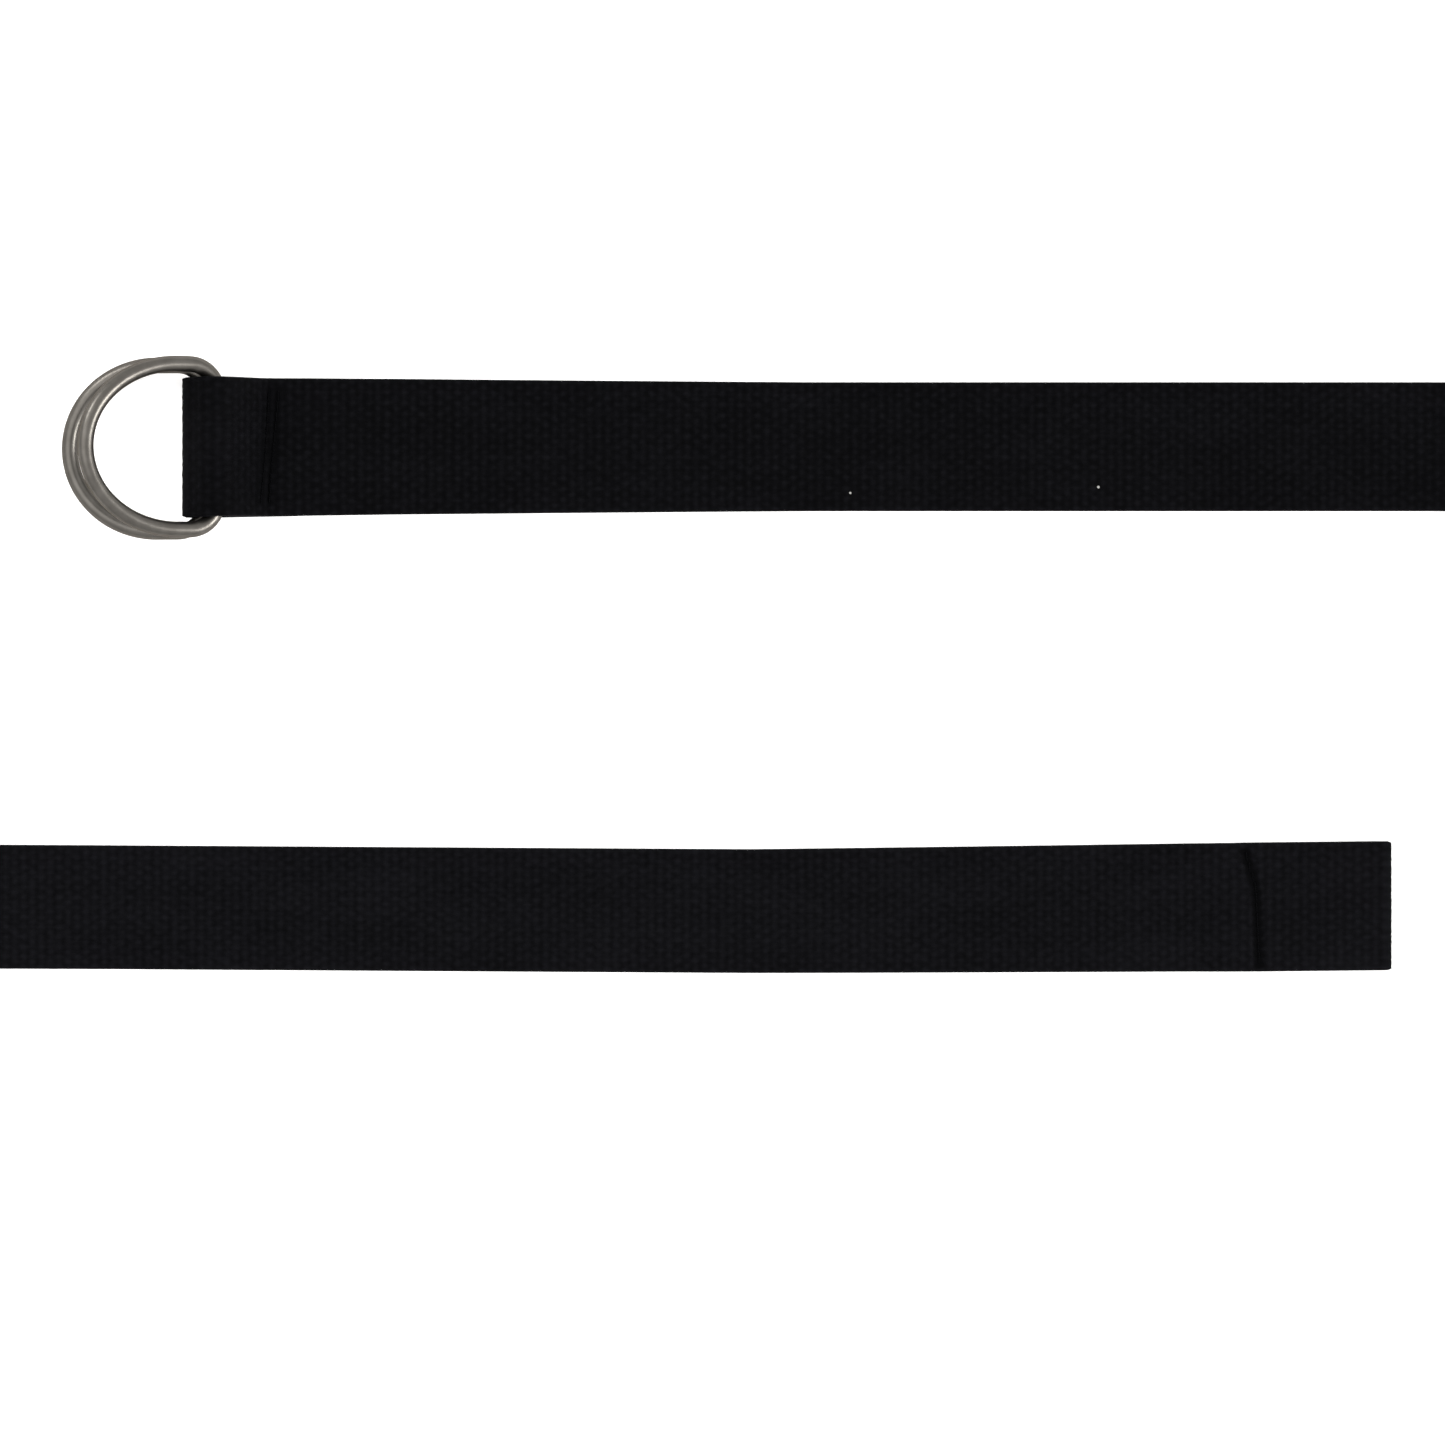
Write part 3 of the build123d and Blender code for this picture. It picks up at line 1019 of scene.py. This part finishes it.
def sew():
    """The four threads: the needle thread on top and the bobbin thread underneath, twice."""
    group = stitch_tree(bonded_thread())
    threads = (
        ("head", "needle", 1),
        ("head", "bobbin", -1),
        ("tail", "needle", 1),
        ("tail", "bobbin", -1),
    )
    pieces = []
    for seed, (seam_name, thread, side) in enumerate(threads):
        name = seam_name + "_" + thread
        pull = SEAMS[seam_name][-1]
        depth = NEEDLE_DEPTH * pull if side > 0 else BOBBIN_DEPTH
        piece = grow(
            name + "_stitches",
            seam_points(name, seam_name, depth, side > 0),
            group,
            {
                "Pitch": PITCH,
                "Thread radius": THREAD,
                "Arch": side * ARCH,
                "Wander": WANDER,
                "Seed": seed,
            },
        )
        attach(piece, "strap")
        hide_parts(name + "_thread")
        pieces.append(piece)
    return pieces


stitches = sew()


# ---------------------------------------------------------------------------
# D-rings
# ---------------------------------------------------------------------------
def ring_line(width, slack):
    """Centre line of a ring: (toward the crown, across, heading), bar first and closed."""
    half = width / 2 - WIRE
    bar = half - RING_CORNER
    corner_x = RING_SETBACK - RING_CORNER
    arm = (RING_REACH + corner_x - half) * (1 - slack)
    crown = RING_REACH + corner_x - arm
    quarter = math.pi / 2
    points = []

    def straight(x, y, heading, length, count):
        for i in range(count):
            step = length * i / count
            points.append((x + step * math.cos(heading), y + step * math.sin(heading), heading))

    def bend(x, y, reach_x, reach_y, start, end, count):
        for i in range(count):
            now = start + (end - start) * i / count
            heading = math.atan2(reach_y * math.sin(now), reach_x * math.cos(now))
            points.append((x + reach_x * math.sin(now), y - reach_y * math.cos(now), heading))

    straight(RING_SETBACK, -bar, quarter, 2 * bar, 20)
    bend(corner_x, bar, RING_CORNER, RING_CORNER, quarter, 2 * quarter, 16)
    straight(corner_x, half, 2 * quarter, arm, 8)
    bend(corner_x - arm, 0, crown, half, 2 * quarter, 4 * quarter, 88)
    straight(corner_x - arm, -half, 4 * quarter, arm, 8)
    bend(corner_x, -bar, RING_CORNER, RING_CORNER, 4 * quarter, 5 * quarter, 16)
    return points


def bend_ring(name, bar, run_y, width, slack, tilt, material):
    """A ring of round wire, with its bar at a joint and its crown tilted up by an angle."""
    line = np.array(ring_line(width, slack))
    steps = np.hypot(*np.diff(line[:, :2], axis=0, append=line[:1, :2]).T)
    run = np.concatenate([[0.0], np.cumsum(steps)[:-1]])
    around = 36
    angle = np.arange(around) * math.tau / around
    side = np.cos(angle)[None, :]
    up = np.sin(angle)[None, :]
    flat_x = line[:, 0:1] - WIRE * side * np.sin(line[:, 2:3])
    flat_y = line[:, 1:2] + WIRE * side * np.cos(line[:, 2:3])
    flat_z = np.repeat(WIRE * up, len(line), axis=0)
    x = bar.x + flat_x * math.cos(tilt) + flat_z * math.sin(tilt)
    y = run_y + flat_y
    z = bar.z - flat_x * math.sin(tilt) + flat_z * math.cos(tilt)
    points = np.stack([x, y, z], axis=2).reshape(-1, 3)
    count = len(line)
    faces = []
    for i in range(count):
        for k in range(around):
            a, b = i * around + k, i * around + (k + 1) % around
            c, d = ((i + 1) % count) * around + (k + 1) % around, ((i + 1) % count) * around + k
            faces.append((a, d, c, b))
    mesh = bpy.data.meshes.new(name)
    mesh.from_pydata(points.tolist(), [], faces)
    wire = np.stack(
        [
            np.repeat(run[:, None], around, axis=1),
            np.repeat(WIRE * side, count, axis=0),
            np.repeat(WIRE * up, count, axis=0),
        ],
        axis=2,
    )
    data = mesh.attributes.new("wire", "FLOAT_VECTOR", "POINT").data
    data.foreach_set("vector", wire.astype(np.float32).ravel())
    bm = bmesh.new()
    bm.from_mesh(mesh)
    bmesh.ops.recalc_face_normals(bm, faces=bm.faces)
    bm.to_mesh(mesh)
    bm.free()
    mesh.shade_smooth()
    mesh.materials.append(material)
    ring = bpy.data.objects.new(name, mesh)
    bpy.context.scene.collection.objects.link(ring)
    return ring


nickel = satin_nickel()
lower_tilt = -math.asin((lower_bar.z - WIRE) / RING_REACH)
lower_shape = (LOWER_RING_SHIFT, LOWER_RING_WIDTH, LOWER_RING_SLACK)
upper_shape = (UPPER_RING_SHIFT, UPPER_RING_WIDTH, UPPER_RING_SLACK)
for node, body, bar, tilt, (shift, width, slack) in (
    ("ring_lower", "lower_ring", lower_bar, lower_tilt, lower_shape),
    ("ring_upper", "upper_ring", upper_bar, UPPER_TILT, upper_shape),
):
    ring = bend_ring("d_" + node, bar, middle(node).y + shift, width, slack, tilt, nickel)
    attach(ring, body)
    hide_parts(node)
